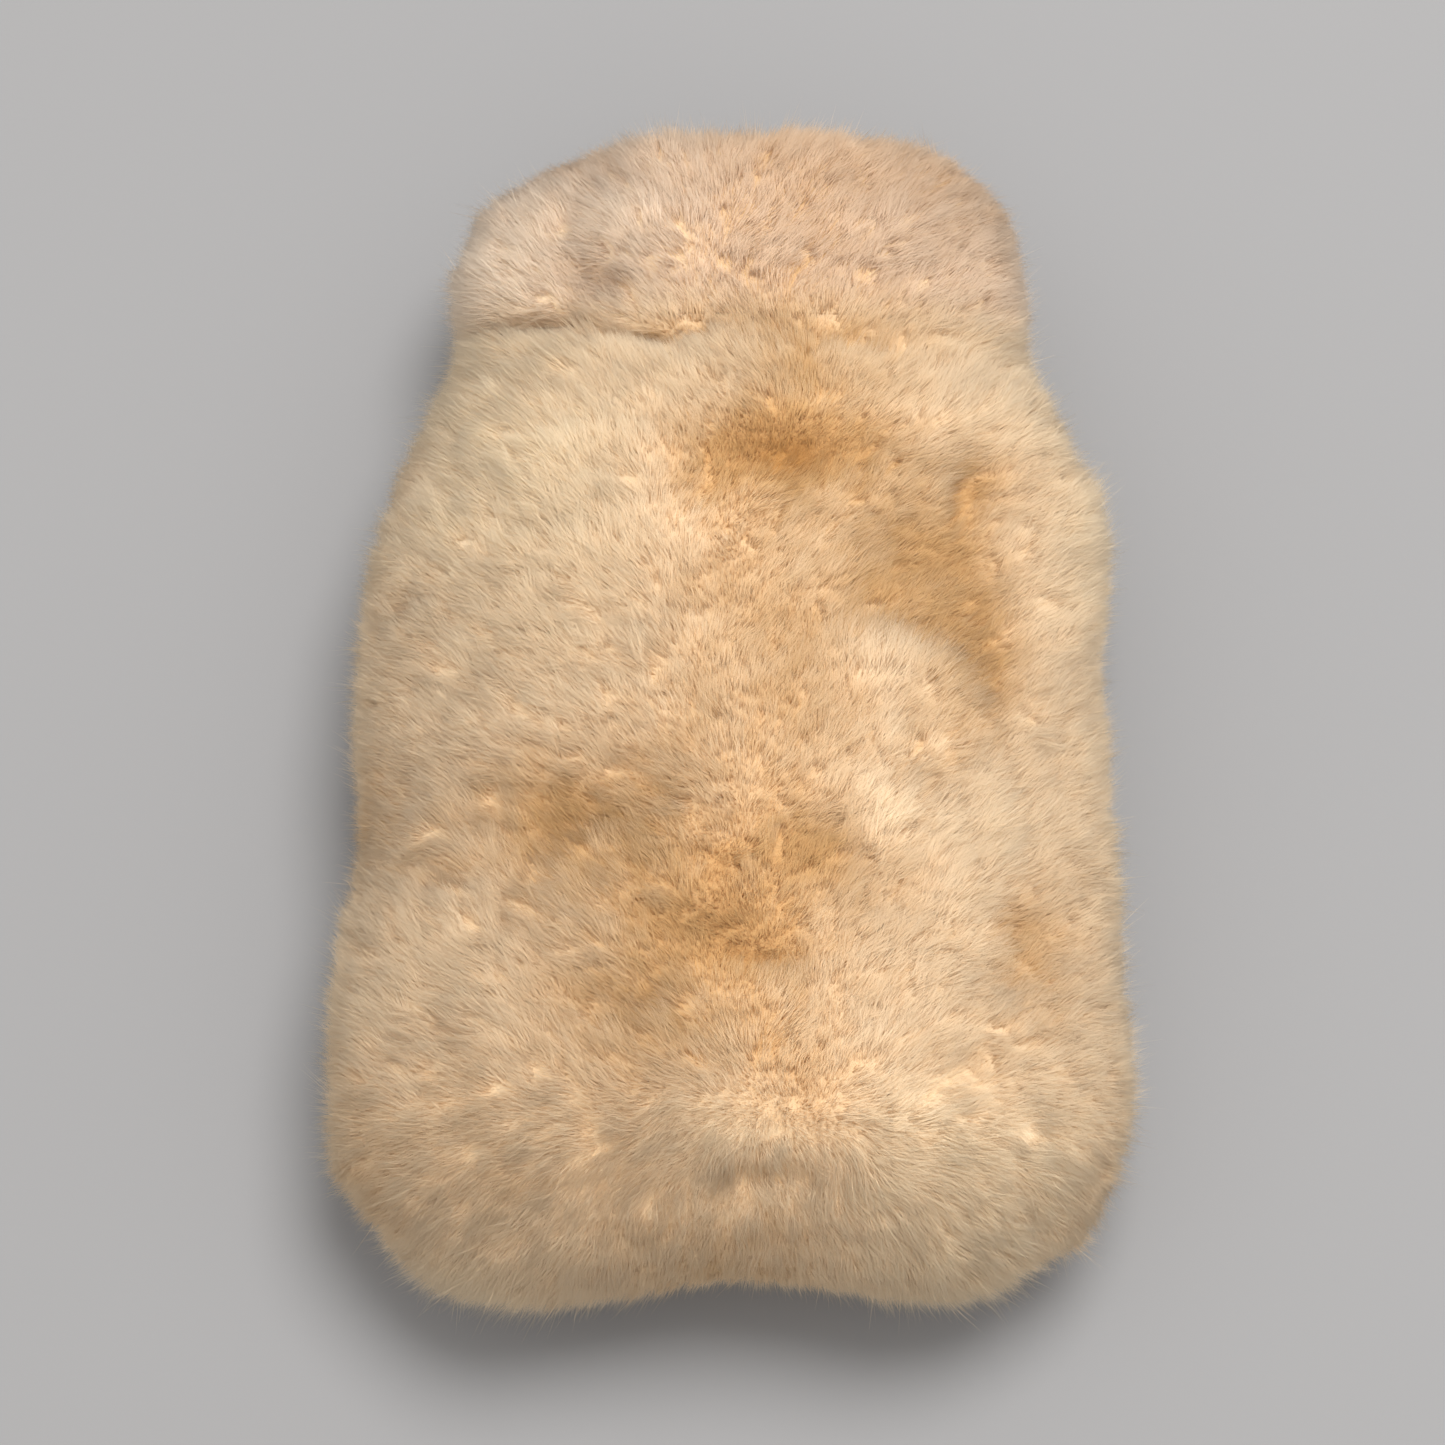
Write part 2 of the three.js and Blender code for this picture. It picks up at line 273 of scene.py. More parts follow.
# these press and swell its outline,
DENTS = [
    (-88, -39, 15, 20, 0.26),
    (-84, 46, 9, 12, 0.12),
    (92, -121, 17, 15, 0.16),
    (92, 58, 14, 17, 0.31),
    (-88, -128, 15, 13, 0.14),
    (4, -146, 36, 14, 0.16),
    (0, -152, 110, 12, 0.10),
    (-58, 136, 20, 15, 0.36),
    (-76, 116, 14, 12, 0.16),
    (66, 136, 18, 14, 0.30),
    (0, 152, 70, 12, 0.40),
    (78, 112, 9, 12, 0.16),
]
BULGES = [
    (-56, -146, 28, 10, 0.26),
    (48, -146, 24, 10, 0.28),
    (92, 36, 12, 20, 0.08),
    (92, -30, 12, 60, 0.03),
    (-60, 98, 12, 26, 0.14),
    (68, 94, 10, 12, 0.10),
]
# and these are where the wool is coloured darker and more ochre, or paler: partly the ochre of the
# roots showing, partly painted shade and painted light on the cuff and the sides.
OCHRE_AND_PAINTED_LIGHT = [
    (48, 22, 20, 24, 0.18),
    (62, -2, 12, 18, 0.12),
    (12, 50, 25, 12, 0.34),
    (10, 72, 16, 14, 0.16),
    (14, -10, 36, 74, 0.19),
    (36, -4, 11, 9, -0.16),
    (32, -38, 9, 12, -0.14),
    (-32, 8, 24, 14, -0.06),
    (19, -46, 15, 10, 0.18),
    (-4, -66, 30, 24, 0.18),
    (-36, -42, 28, 22, 0.13),
    (-14, -92, 30, 10, 0.12),
    (16, -99, 26, 12, 0.14),
    (71, -69, 9, 14, 0.14),
    (8, 108, 22, 26, 0.18),
    # painted shade: the cuff's top darker
    (24, 134, 50, 16, 0.22),
    # painted light: the cuff's left paler
    (-52, 110, 22, 24, -0.28),
    # painted shadow: a dark streak on the cuff's left
    (-40, 99, 8, 8, 0.10),
    (56, 112, 20, 22, 0.10),
    # painted light: the left side paler
    (-60, 50, 34, 40, -0.20),
    (64, -120, 34, 24, -0.24),
]
# The wool's tufts, each as size, strength and seed. They show most round these places
TUFTS = [(12, 0.13, 41), (6, 0.10, 42)]
TUFTED = [(20, -18, 50, 66, 0.50), (-20, 46, 20, 13, 0.45)]
SMOOTH_TUFTS = 0.45  # and this share of them is left far from there
TUFT_LEVEL = 0.3  # of the noise, where a tuft leaves the pile's height as it is

MARK_WOBBLE = 3  # of the marks' edges
SWELLING = [(34, 0.06, 11), (17, 0.04, 12)]  # of the whole pile, as size, strength and seed
UPPER_REACH = 16  # up from the seam, over which the marks set in
UPPER_START = 0.3  # how far they have set in at the seam
HOLLOW_SHADE_AND_OCHRE = 0.8  # painted shade, darker and more ochre, for each share of the pile's height that is missing; partly the roots' ochre showing
HOLLOW_LIMITS = (-0.2, 0.5)


def marks(points, places):
    """How strongly the places act on each point, from above."""
    total = np.zeros(points.shape[:-1])
    across = points[..., 0] + MARK_WOBBLE * noise(points, 24, 14)
    along = points[..., 1] + MARK_WOBBLE * noise(points, 19, 15)
    for x, y, rx, ry, share in places:
        far = ((across - x) / rx) ** 2 + ((along - y) / ry) ** 2
        total = total + share * np.exp(-far)
    return total


def upper(points):
    """1 on the top of the mitt, 0 under it."""
    return smooth((points[..., 2] - SEAM_HEIGHT) / UPPER_REACH + UPPER_START)


def pile_share(points):
    """Height of the pile as a share of its usual one, at points of the surface."""
    share = 1 + sum(strength * noise(points, size, seed) for size, strength, seed in SWELLING)
    tufted = SMOOTH_TUFTS + marks(points, TUFTED)
    for size, strength, seed in TUFTS:
        share = share + strength * tufted * (np.abs(noise(points, size, seed)) - TUFT_LEVEL)
    share = share + marks(points, BULGES) - marks(points, DENTS)
    return share + upper(points) * (marks(points, SWELLS) - marks(points, HOLLOWS))


def shade_and_ochre(points, share):
    """How much darker and more ochre the wool is painted: painted shade where the pile is short, partly
    the roots' ochre showing there, and the marks of ochre, painted shade and painted light.
    """
    return HOLLOW_SHADE_AND_OCHRE * np.clip(1.0 - share, *HOLLOW_LIMITS) + upper(points) * marks(points, OCHRE_AND_PAINTED_LIGHT)


def settle(points):
    """Leans the cuff to one side, lifts the closed end's middle and keeps all off the table."""
    p = points.copy()
    lean = lerp(LEAN_AT_HAND, LEAN_AT_CUFF, smooth((p[..., 1] - LEAN_FROM_Y) / LEAN_REACH))
    p[..., 0] += lean
    near_end = smooth((ARCH_FROM_Y - p[..., 1]) / ARCH_REACH)
    middle = np.exp(-(((p[..., 0] - ARCH_X) / ARCH_HALF_WIDTH) ** 4))
    low = smooth((ARCH_TOP_Z - p[..., 2]) / ARCH_REACH)
    p[..., 2] += ARCH_RISE * near_end * middle * low
    p[..., 2] = np.maximum(p[..., 2], FLOOR_CLEARANCE)
    return p


# ---------------------------------------------------------------- meshes


def to_object(name, points, triangles=None, quads=None, smooth_faces=True):
    """A mesh object from points in millimetres and faces as index rows."""
    faces = [np.asarray(f) for f in (triangles, quads) if f is not None and len(f)]
    corners = np.concatenate([f.ravel() for f in faces]).astype(np.int32)
    sizes = np.concatenate([np.full(len(f), f.shape[1]) for f in faces])
    starts = np.concatenate([[0], np.cumsum(sizes)[:-1]]).astype(np.int32)
    mesh = bpy.data.meshes.new(name)
    mesh.vertices.add(len(points))
    mesh.vertices.foreach_set("co", (np.asarray(points) * MM).astype(np.float32).ravel())
    mesh.loops.add(len(corners))
    mesh.loops.foreach_set("vertex_index", corners)
    mesh.polygons.add(len(sizes))
    mesh.polygons.foreach_set("loop_start", starts)
    mesh.update(calc_edges=True)
    mesh.polygons.foreach_set("use_smooth", np.full(len(sizes), smooth_faces))
    made = bpy.data.objects.new(name, mesh)
    bpy.context.scene.collection.objects.link(made)
    return made


def grid_quads(first, rows, columns, around):
    """Quads over a grid of points, closed round its columns if around."""
    cells = columns if around else columns - 1
    i, j = (v.ravel() for v in np.meshgrid(np.arange(rows - 1), np.arange(cells), indexing="ij"))
    k = (j + 1) % columns
    return first + np.stack(
        [i * columns + j, (i + 1) * columns + j, (i + 1) * columns + k, i * columns + k], axis=1
    )


def shell(outside, inside, around):
    """Points and quads of one closed body between two grids of points."""
    rows, columns = outside.shape[:2]
    points = np.concatenate([outside.reshape(-1, 3), inside.reshape(-1, 3)])
    inner = rows * columns
    quads = [grid_quads(0, rows, columns, around), grid_quads(inner, rows, columns, around)[:, ::-1]]
    j = np.arange(columns if around else columns - 1)
    k = (j + 1) % columns
    last = (rows - 1) * columns
    quads.append(np.stack([j, k, inner + k, inner + j], axis=1))
    quads.append(np.stack([last + k, last + j, inner + last + j, inner + last + k], axis=1))
    if not around:
        i = np.arange(rows - 1) * columns
        n = i + columns
        edge = columns - 1
        quads.append(np.stack([n, i, inner + i, inner + n], axis=1))
        quads.append(np.stack([i + edge, n + edge, inner + n + edge, inner + i + edge], axis=1))
    quads = np.concatenate(quads)
    a, b, c, d = (points[quads[:, n]] for n in range(4))
    volume = np.sum(a * np.cross(b, c)) + np.sum(a * np.cross(c, d))
    return points, quads if volume > 0 else quads[:, ::-1]


def half_shell(outside, inside, side, gap=HALF_GAP):
    """Points and quads of a half of a layer. gap is its outside's, from the seam plane."""
    outside, inside = halved(outside, side, gap), halved(inside, side)
    return shell(settle(outside), settle(inside), around=False)


def half_angles(turn, count=100):
    return np.linspace(turn, turn + math.pi, count)


def add_attribute(piece, key, values):
    """A number for each point of a piece, for its material to read."""
    attribute = piece.data.attributes.new(key, "FLOAT", "POINT")
    attribute.data.foreach_set("value", np.asarray(values).astype(np.float32))


def bend_at_wrist(piece):
    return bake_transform(piece)


def add_piece(name, points, quads, material, node, body=None):
    """A piece that stands for a CAD node. It rides on a body if one is given."""
    piece = to_object(name, points, quads=quads)
    piece.data.materials.append(material)
    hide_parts(node)
    if body:
        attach(piece, body)
    else:
        bend_at_wrist(piece)
    return piece


# ---------------------------------------------------------------- materials


def linear(red, green, blue):
    """A colour given as it looks on a screen, 0 to 255, as linear light."""
    share = np.array([red, green, blue]) / 255
    return (*np.where(share <= 0.04045, share / 12.92, ((share + 0.055) / 1.055) ** 2.4).tolist(), 1)


class Shade:
    """A Principled material, and short ways to add nodes to it."""

    def __init__(self, name, roughness, specular=0.25, sheen=0.0, sheen_roughness=0.5):
        self.material = bpy.data.materials.new(name)
        self.material.use_nodes = True
        self.tree = self.material.node_tree
        self.shader = self.tree.nodes["Principled BSDF"]
        self.shader.inputs["Roughness"].default_value = roughness
        self.shader.inputs["Specular IOR Level"].default_value = specular
        self.shader.inputs["Sheen Weight"].default_value = sheen
        self.shader.inputs["Sheen Roughness"].default_value = sheen_roughness

    def node(self, kind, inputs=None, **settings):
        made = self.tree.nodes.new(kind)
        for key, value in settings.items():
            setattr(made, key, value)
        for key, value in (inputs or {}).items():
            if isinstance(value, bpy.types.NodeSocket):
                self.tree.links.new(value, made.inputs[key])
            else:
                made.inputs[key].default_value = value
        return made

    def place(self):
        return self.node("ShaderNodeTexCoord").outputs["Object"]

    def attribute(self, name):
        return self.node("ShaderNodeAttribute", attribute_name=name).outputs["Fac"]

    def noise(self, scale, detail=3.0, roughness=0.5):
        inputs = {"Vector": self.place(), "Scale": scale, "Detail": detail, "Roughness": roughness}
        return self.node("ShaderNodeTexNoise", inputs).outputs["Fac"]

    def bands(self, direction, scale, distortion, detail=1.0):
        inputs = {"Vector": self.place(), "Scale": scale, "Distortion": distortion, "Detail": detail}
        made = self.node("ShaderNodeTexWave", inputs, wave_type="BANDS", bands_direction=direction)
        return made.outputs["Fac"]

    def math(self, operation, *values):
        return self.node("ShaderNodeMath", dict(enumerate(values)), operation=operation).outputs[0]

    def total(self, start, *parts):
        """A number and some sockets added up, each socket times its weight."""
        for socket, weight in parts:
            start = self.math("MULTIPLY_ADD", socket, weight, start)
        return start

    def ramp(self, value, stops):
        made = self.node("ShaderNodeValToRGB", {"Fac": value})
        elements = made.color_ramp.elements
        while len(elements) < len(stops):
            elements.new(1.0)
        for element, (at, colour) in zip(elements, stops):
            element.position = at
            element.color = colour
        return made.outputs["Color"]

    def mix(self, share, a, b):
        """Colour a where share is 0, colour b where it is 1."""
        return self.node("ShaderNodeMix", {0: share, 6: a, 7: b}, data_type="RGBA").outputs[2]

    def colour(self, socket):
        self.tree.links.new(socket, self.shader.inputs["Base Color"])

    def bump(self, height, distance, strength=0.5):
        inputs = {"Height": height, "Distance": distance, "Strength": strength}
        made = self.node("ShaderNodeBump", inputs)
        self.tree.links.new(made.outputs["Normal"], self.shader.inputs["Normal"])


def wool_stops(root, low, middle, tip):
    """A colour ramp from the ochre of the roots to the cream of the tips."""
    return [(0.0, linear(*root)), (0.35, linear(*low)), (0.68, linear(*middle)), (1.0, linear(*tip))]


def hair_material():
    """Cream hair, ochre towards its root, in soft patches. The cuff's is paler and pinker. It is
    painted darker and more ochre where the pile is short, as painted shade and partly the roots' ochre,
    and darker or paler at its marks of ochre and painted light.
    """
    shade = Shade("wool hair", roughness=0.7, specular=0.12, sheen=0.08, sheen_roughness=0.5)
    value = shade.total(
        0.405,
        (shade.attribute("along"), 0.13),
        (shade.attribute("tone"), 0.09),
        (shade.noise(26, detail=2), 0.2),
        (shade.noise(190, detail=2), 0.13),
        # painted shade and light, partly the roots' ochre: darker where the pile is short and at the
        # marks
        (shade.attribute("shade_and_ochre"), -1.0),
    )
    hand = wool_stops((184, 136, 78), (214, 173, 120), (243, 216, 180), (253, 231, 196))
    cuff = wool_stops((198, 150, 106), (216, 182, 147), (236, 210, 183), (254, 233, 208))
    on_hand, on_cuff = shade.ramp(value, hand), shade.ramp(value, cuff)
    shade.colour(shade.mix(shade.attribute("at_cuff"), on_hand, on_cuff))
    return shade.material


def undercoat_material():
    """The dense ochre wool under the hair, painted darker where the pile is short and at the marks:
    painted shade and light, partly the roots' ochre.
    """
    shade = Shade("wool undercoat", roughness=0.9, specular=0.1, sheen=0.2)
    fibres = shade.noise(900, detail=4, roughness=0.7)
    relief = shade.total(0.0, (fibres, 0.5), (shade.noise(160), 0.5))
    # darker by the painted shade and light of the pile, partly the roots' ochre
    value = shade.total(0.42, (relief, 0.5), (shade.attribute("shade_and_ochre"), -1.0))
    stops = wool_stops((182, 134, 78), (210, 168, 116), (234, 205, 166), (240, 218, 186))
    shade.colour(shade.ramp(value, stops))
    shade.bump(relief, 0.0015, 0.9)
    return shade.material


def floor_material():
    shade = Shade("floor", roughness=0.75, specular=0.2)
    soft = shade.noise(1.5, detail=2)
    shade.colour(shade.ramp(soft, [(0.3, linear(143, 142, 142)), (0.7, linear(147, 146, 146))]))
    return shade.material


# ---------------------------------------------------------------- hair

HAIRS = 700000
PIECE_HAIRS = 47000  # at most, in one mesh
RIM_SHARE = 0.025  # of the hairs, on the inner face of the pile at the mouth
LOW_SHARE = 0.28  # of the hairs for the same area of the top grow under the mitt,
LOW_Z = SEAM_HEIGHT - 18  # below this height,
LOW_REACH = 12  # fully so this much lower

HAIR_SIDES = 3
HAIR_RADIUS = 0.07  # at the root,
HAIR_RADII = (0.7, 1.3)  # times this, from hair to hair
HAIR_REACH = 13  # along the mitt, further than nearly all hair lies
STRIP_HEIGHT = 5  # times its width, of a hair's place on the unwrapped map
ROOT_DEPTH = 1.0  # of the hair in the undercoat
UNDERCOAT_SHARE = 0.75  # of the pile's height, where the hair starts to show

# Where the hair is combed to, as shares of a full pull
MIDDLE_X = 5  # it follows the comb least here,
MIDDLE_SWAY = 8  # to one side and the other,
MIDDLE_REACH = 50  # and most this far away
COMB_X = 4  # it parts here
COMB_REACH = 34
COMB_END = -0.9  # along Y, at the closed end,
COMB_ON = 0.55  # and on from there
COMB_END_Y = -133
COMB_TURN = 45  # along Y, over which it changes
COMB_FALL = -0.30  # downwards
SWIRLS = (0.62, 0.34)  # along the middle, and near the sides
FINE_SWIRL = 0.7  # of each swirl
UPRIGHT_UNDER = 0.5  # where the comb pulls less than this the hair leans less,
UPRIGHT_LEAN = 0.4  # down to this share of its lean

# Leans away from upright, in degrees
SIDE_LEAN = 36  # where the pile faces sideways
TOP_LEANS = (44, 58)  # where it faces up or down, along the middle and near the sides
LEAN_WAVE = 10
PRESSED_LEAN = 82  # where the mitt lies on the table,
PRESSED_Z = 12  # from this height down,
PRESSED_REACH = 8  # fully so this much lower
RIM_LEAN = 70  # round the mouth
LEAN_SPREAD = 8
MOST_LEAN = 84
LONGEST_LEAN = 62  # hair that leans more is no longer for it

# Lengths, as shares of what reaches the pile's outside
HAIR_LENGTH = 0.95
LENGTH_WAVE = 0.12
LENGTH_SPREAD = 0.10
FLYAWAYS = 0.08  # share of the hairs that are longer,
FLYAWAY_LENGTH = 0.4  # and by how much of their length
TURN_SPREAD = 0.28  # of the way a hair is combed
TIP_SPREAD = 0.3

# Locks, each with its own turn, lean in degrees and length
LOCK_HAIRS = 60  # in an average lock
LOCK_TURN = 0.34
LOCK_LEAN = 8
LOCK_LENGTH = 0.08
LOCK_PULL = 0.21  # at most, of a tip to that of its lock's leading hair,
LOCK_PULLS = (0.3, 1.0)  # times this, from lock to lock,
HAIR_PULLS = (0.5, 1.0)  # and times this, from hair to hair

CUFF_TINT_Y = WRIST_Y - 6  # where the cuff's colour sets in
CUFF_TINT_REACH = 14


def combed(points):
    """How strictly the hair follows the comb, from 0 along the middle to 1 near the sides."""
    middle = MIDDLE_X + MIDDLE_SWAY * noise(points, 60, 24)
    return smooth(np.abs(points[:, 0] - middle) / MIDDLE_REACH)


def comb(points):
    """Where the hair is combed to: out to the sides, and to both ends from near the closed one."""
    out = np.tanh((points[:, 0] - COMB_X) / COMB_REACH)
    up = lerp(COMB_END, COMB_ON, smooth((points[:, 1] - COMB_END_Y) / COMB_TURN))
    swirl = lerp(*SWIRLS, combed(points))
    flat = [
        way + swirl * (noise(points, 34, seed) + FINE_SWIRL * noise(points, 13, seed + 1))
        for way, seed in ((out, 21), (up, 26))
    ]
    return np.stack([*flat, np.full(len(points), COMB_FALL)], axis=1)


def grid_normals(grid):
    """Outward directions of a grid of points that is closed round its columns."""
    along = np.gradient(grid, axis=0)
    across = np.roll(grid, -1, axis=1) - np.roll(grid, 1, axis=1)
    normal = unit(np.cross(across, along))
    centre = grid.mean(axis=1, keepdims=True)
    return normal if np.sum(normal * (grid - centre)) > 0 else -normal


def hair_density(points):
    """Hairs wanted on each part of the mitt, against the top."""
    return lerp(1.0, LOW_SHARE, smooth((LOW_Z - points[..., 2]) / LOW_REACH))


def coat_roots(count):
    """Random places on the undercoat for the hair to grow from, and how it stands there."""
    rows = stations(2.2)
    angles = np.linspace(0, 2 * math.pi, 210, endpoint=False)
    share = pile_share(surface(rows, angles, PILE_TOP))
    whole = surface(rows, angles, PILE_TOP * UNDERCOAT_SHARE * share)
    normal = grid_normals(whole)
    around, normal = (np.concatenate([g, g[:, :1]], axis=1) for g in (whole, normal))
    along_v = around[1:, :-1] - around[:-1, :-1]
    across_v = around[:-1, 1:] - around[:-1, :-1]
    area = np.linalg.norm(np.cross(along_v, across_v), axis=-1)
    weight = (area * hair_density((around[:-1, :-1] + around[1:, 1:]) / 2)).ravel()
    cell = rng.choice(len(weight), size=count, p=weight / weight.sum())
    i, j = np.divmod(cell, len(angles))
    u, v = rng.random((2, count, 1))

    def in_cell(grid):
        return lerp(lerp(grid[i, j], grid[i, j + 1], v), lerp(grid[i + 1, j], grid[i + 1, j + 1], v), u)

    at, normal = in_cell(around), unit(in_cell(normal))
    way = comb(at)
    upright = 1 - smooth(np.hypot(way[:, 0], way[:, 1]) / UPRIGHT_UNDER)
    lean = lerp(SIDE_LEAN, lerp(*TOP_LEANS, combed(at)), np.abs(normal[:, 2]))
    lean = (lean + LEAN_WAVE * noise(at, 9, 31)) * lerp(1.0, UPRIGHT_LEAN, upright)
    lean = lerp(lean, PRESSED_LEAN, smooth((PRESSED_Z - at[:, 2]) / PRESSED_REACH))
    return {
        "at": at, "normal": normal, "way": way, "lean": lean,
        "share": share[i, j], "front": angles[j] < math.pi,
    }


def rim_roots(count):
    """Places on the inner face of the pile round the mouth. The hair there lies out along the arm."""
    angles = rng.random(count) * 2 * math.pi
    row = np.array([(CUFF_ROUND_Y, 0, 1.0)])
    share = pile_share(surface(row, angles, PILE_TOP))
    skin_edge = surface(row, angles, PILE_BASE)[0]
    pile_edge = surface(row, angles, PILE_TOP * UNDERCOAT_SHARE * share)[0]
    at = lerp(skin_edge, pile_edge, rng.random((count, 1)))
    outward = skin_edge - surface(row, angles, FAR_INSIDE)[0]
    outward[:, 1] = 0
    return {
        "at": at, "normal": -unit(outward), "way": np.tile((0.0, 1.0, 0.0), (count, 1)),
        "lean": np.full(count, float(RIM_LEAN)), "share": share[0], "front": angles < math.pi,
    }


class Locks:
    """Sorts the hairs into small locks, each with its own turn, lean, length and tone."""

    def __init__(self, at):
        count = len(at) // LOCK_HAIRS
        leaders = rng.choice(len(at), size=count, replace=False)
        tree = KDTree(count)
        for n, index in enumerate(leaders):
            tree.insert(at[index], n)
        tree.balance()
        lock = np.array([tree.find(p)[1] for p in at])
        self.leader = leaders[lock]
        self.turn = rng.normal(0, LOCK_TURN, count)[lock]
        self.lean = rng.normal(0, LOCK_LEAN, count)[lock]
        self.length = rng.normal(0, LOCK_LENGTH, count)[lock]
        self.tone = rng.random(count)[lock]
        pull = rng.uniform(*LOCK_PULLS, count)[lock]
        self.pull = LOCK_PULL * pull * rng.uniform(*HAIR_PULLS, len(at))


def hair_paths(roots, locks):
    """Root and tip of each hair."""
    at, normal, way = roots["at"], roots["normal"], roots["way"]
    count = len(at)
    way = unit(way - normal * np.sum(way * normal, axis=1, keepdims=True))
    lean = roots["lean"] + locks.lean + rng.normal(0, LEAN_SPREAD, count)
    lean = np.radians(np.clip(lean, 0, MOST_LEAN))
    height = PILE_TOP * roots["share"] * (1 - UNDERCOAT_SHARE)
    full = height / np.cos(np.minimum(lean, math.radians(LONGEST_LEAN)))
    flyaway = 1 + FLYAWAY_LENGTH * (rng.random(count) < FLYAWAYS)
    share = HAIR_LENGTH + LENGTH_WAVE * noise(at, 6, 32) + locks.length
    length = full * (share + rng.normal(0, LENGTH_SPREAD, count)) * flyaway
    drift = (locks.turn + rng.normal(0, TURN_SPREAD, count))[:, None]
    way = unit(way + np.cross(normal, way) * drift)
    root = at - normal * ROOT_DEPTH
    step = normal * np.cos(lean)[:, None] + way * np.sin(lean)[:, None]
    tip = root + step * length[:, None]
    tip = lerp(tip, tip[locks.leader], locks.pull[:, None])
    return root, tip + rng.normal(0, TIP_SPREAD, (count, 3))


def hair_piece(name, root, tip, facts, material):
    """One mesh of closed tapering hairs. facts are numbers for each hair, kept as attributes."""
    count = len(root)
    heading = unit(tip - root)
    first = unit(np.cross(heading, rng.normal(0, 1, (count, 3))))
    second = np.cross(heading, first)
    thick = (HAIR_RADIUS * rng.uniform(*HAIR_RADII, count))[:, None]
    points = []
    for side in range(HAIR_SIDES):
        turn = 2 * math.pi * side / HAIR_SIDES
        points.append(root + (first * math.cos(turn) + second * math.sin(turn)) * thick)
    points = settle(np.stack([*points, tip], axis=1))
    per_hair = HAIR_SIDES + 1
    sides = [(s, (s + 1) % HAIR_SIDES, HAIR_SIDES) for s in range(HAIR_SIDES)]
    pattern = np.array([(2, 1, 0), *sides])
    triangles = (pattern[None] + (np.arange(count) * per_hair)[:, None, None]).reshape(-1, 3)
    piece = to_object(name, points.reshape(-1, 3), triangles=triangles)
    along = np.array([0.0] * HAIR_SIDES + [1.0])
    facts = {**{k: np.repeat(v, per_hair) for k, v in facts.items()}, "along": np.tile(along, count)}
    for key, values in facts.items():
        add_attribute(piece, key, values)
    lay_out_hair(piece, pattern, count)
    piece.data.materials.append(material)
    return piece


def lay_out_hair(piece, pattern, count):
    """A strip of the unwrapped map for each hair, its root at the bottom."""
    columns = math.ceil(math.sqrt(count * STRIP_HEIGHT))
    rows = math.ceil(count / columns)
    corner = pattern.ravel()
    is_tip = corner == HAIR_SIDES
    u = np.where(is_tip, 0.5, 0.25 + 0.25 * corner)
    v = np.where(is_tip, 0.9, 0.1)
    hair = np.arange(count)
    uv = np.empty((count, len(corner), 2), np.float32)
    uv[..., 0] = ((hair % columns)[:, None] + u) / columns
    uv[..., 1] = ((hair // columns)[:, None] + v) / rows
    layer = piece.data.uv_layers.new(name="OFBake")
    layer.data.foreach_set("uv", uv.ravel())


def make_hair():
    total = HAIRS
    material = hair_material()
    parts = coat_roots(round(total * (1 - RIM_SHARE))), rim_roots(round(total * RIM_SHARE))
    roots = {key: np.concatenate([part[key] for part in parts]) for key in parts[0]}
    locks = Locks(roots["at"])
    root, tip = hair_paths(roots, locks)
    facts = {
        "tone": locks.tone,
        # painted shade and light of the pile, partly the roots' ochre
        "shade_and_ochre": shade_and_ochre(tip, roots["share"]),
        "at_cuff": smooth((roots["at"][:, 1] - CUFF_TINT_Y) / CUFF_TINT_REACH),
    }
    y = roots["at"][:, 1]
    bend_from = WRIST_Y - BEND_REACH - HAIR_REACH
    bend_to = WRIST_Y + BEND_REACH + HAIR_REACH
    zones = {"hand": y < bend_from, "wrist": (y >= bend_from) & (y <= bend_to), "cuff": y > bend_to}
    for side, on_side in (("front", roots["front"]), ("back", ~roots["front"])):
        for zone, in_zone in zones.items():
            chosen = np.flatnonzero(on_side & in_zone)
            chosen = chosen[np.argsort(y[chosen], kind="stable")]
            count = max(1, math.ceil(len(chosen) / PIECE_HAIRS))
            for n, part in enumerate(np.array_split(chosen, count), 1):
                of_part = {k: v[part] for k, v in facts.items()}
                name = f"{side}_{zone}_hair_{n}"
                piece = hair_piece(name, root[part], tip[part], of_part, material)
                if zone == "wrist":
                    bend_at_wrist(piece)
                else:
                    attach(piece, "hand_part" if zone == "hand" else "cuff")


# ---------------------------------------------------------------- undercoat

# Each zone's name for its pieces, and where it starts and ends. Each half's name, side and first angle
ZONES = [("{}", END_Y, WRIST_Y - FOLD_GAP), ("cuff_{}", WRIST_Y + FOLD_GAP, SKIN_RIM_Y)]
SIDES = [("front", 1, 0), ("back", -1, math.pi)]


def make_undercoats():
    material = undercoat_material()
    for pattern, from_y, to_y in ZONES:
        for name, side, turn in SIDES:
            rows, angles = stations(3.0, from_y, to_y), half_angles(turn, 90)
            share = pile_share(surface(rows, angles, PILE_TOP))
            outside = surface(rows, angles, PILE_TOP * UNDERCOAT_SHARE * share)
            points, quads = half_shell(outside, surface(rows, angles, PILE_BASE), side, PILE_GAP)
            half = pattern.format(name)
            piece = add_piece(f"{half}_undercoat", points, quads, material, f"{half}_pile")
            # painted shade and light of the undercoat, partly the roots' ochre
            shown = shade_and_ochre(halved(outside, side, PILE_GAP), share)
            add_attribute(piece, "shade_and_ochre", np.tile(shown.ravel(), 2))


# ---------------------------------------------------------------- skins and linings

SKIN_WAVE = 0.12
LINING_SLACK = 0.25


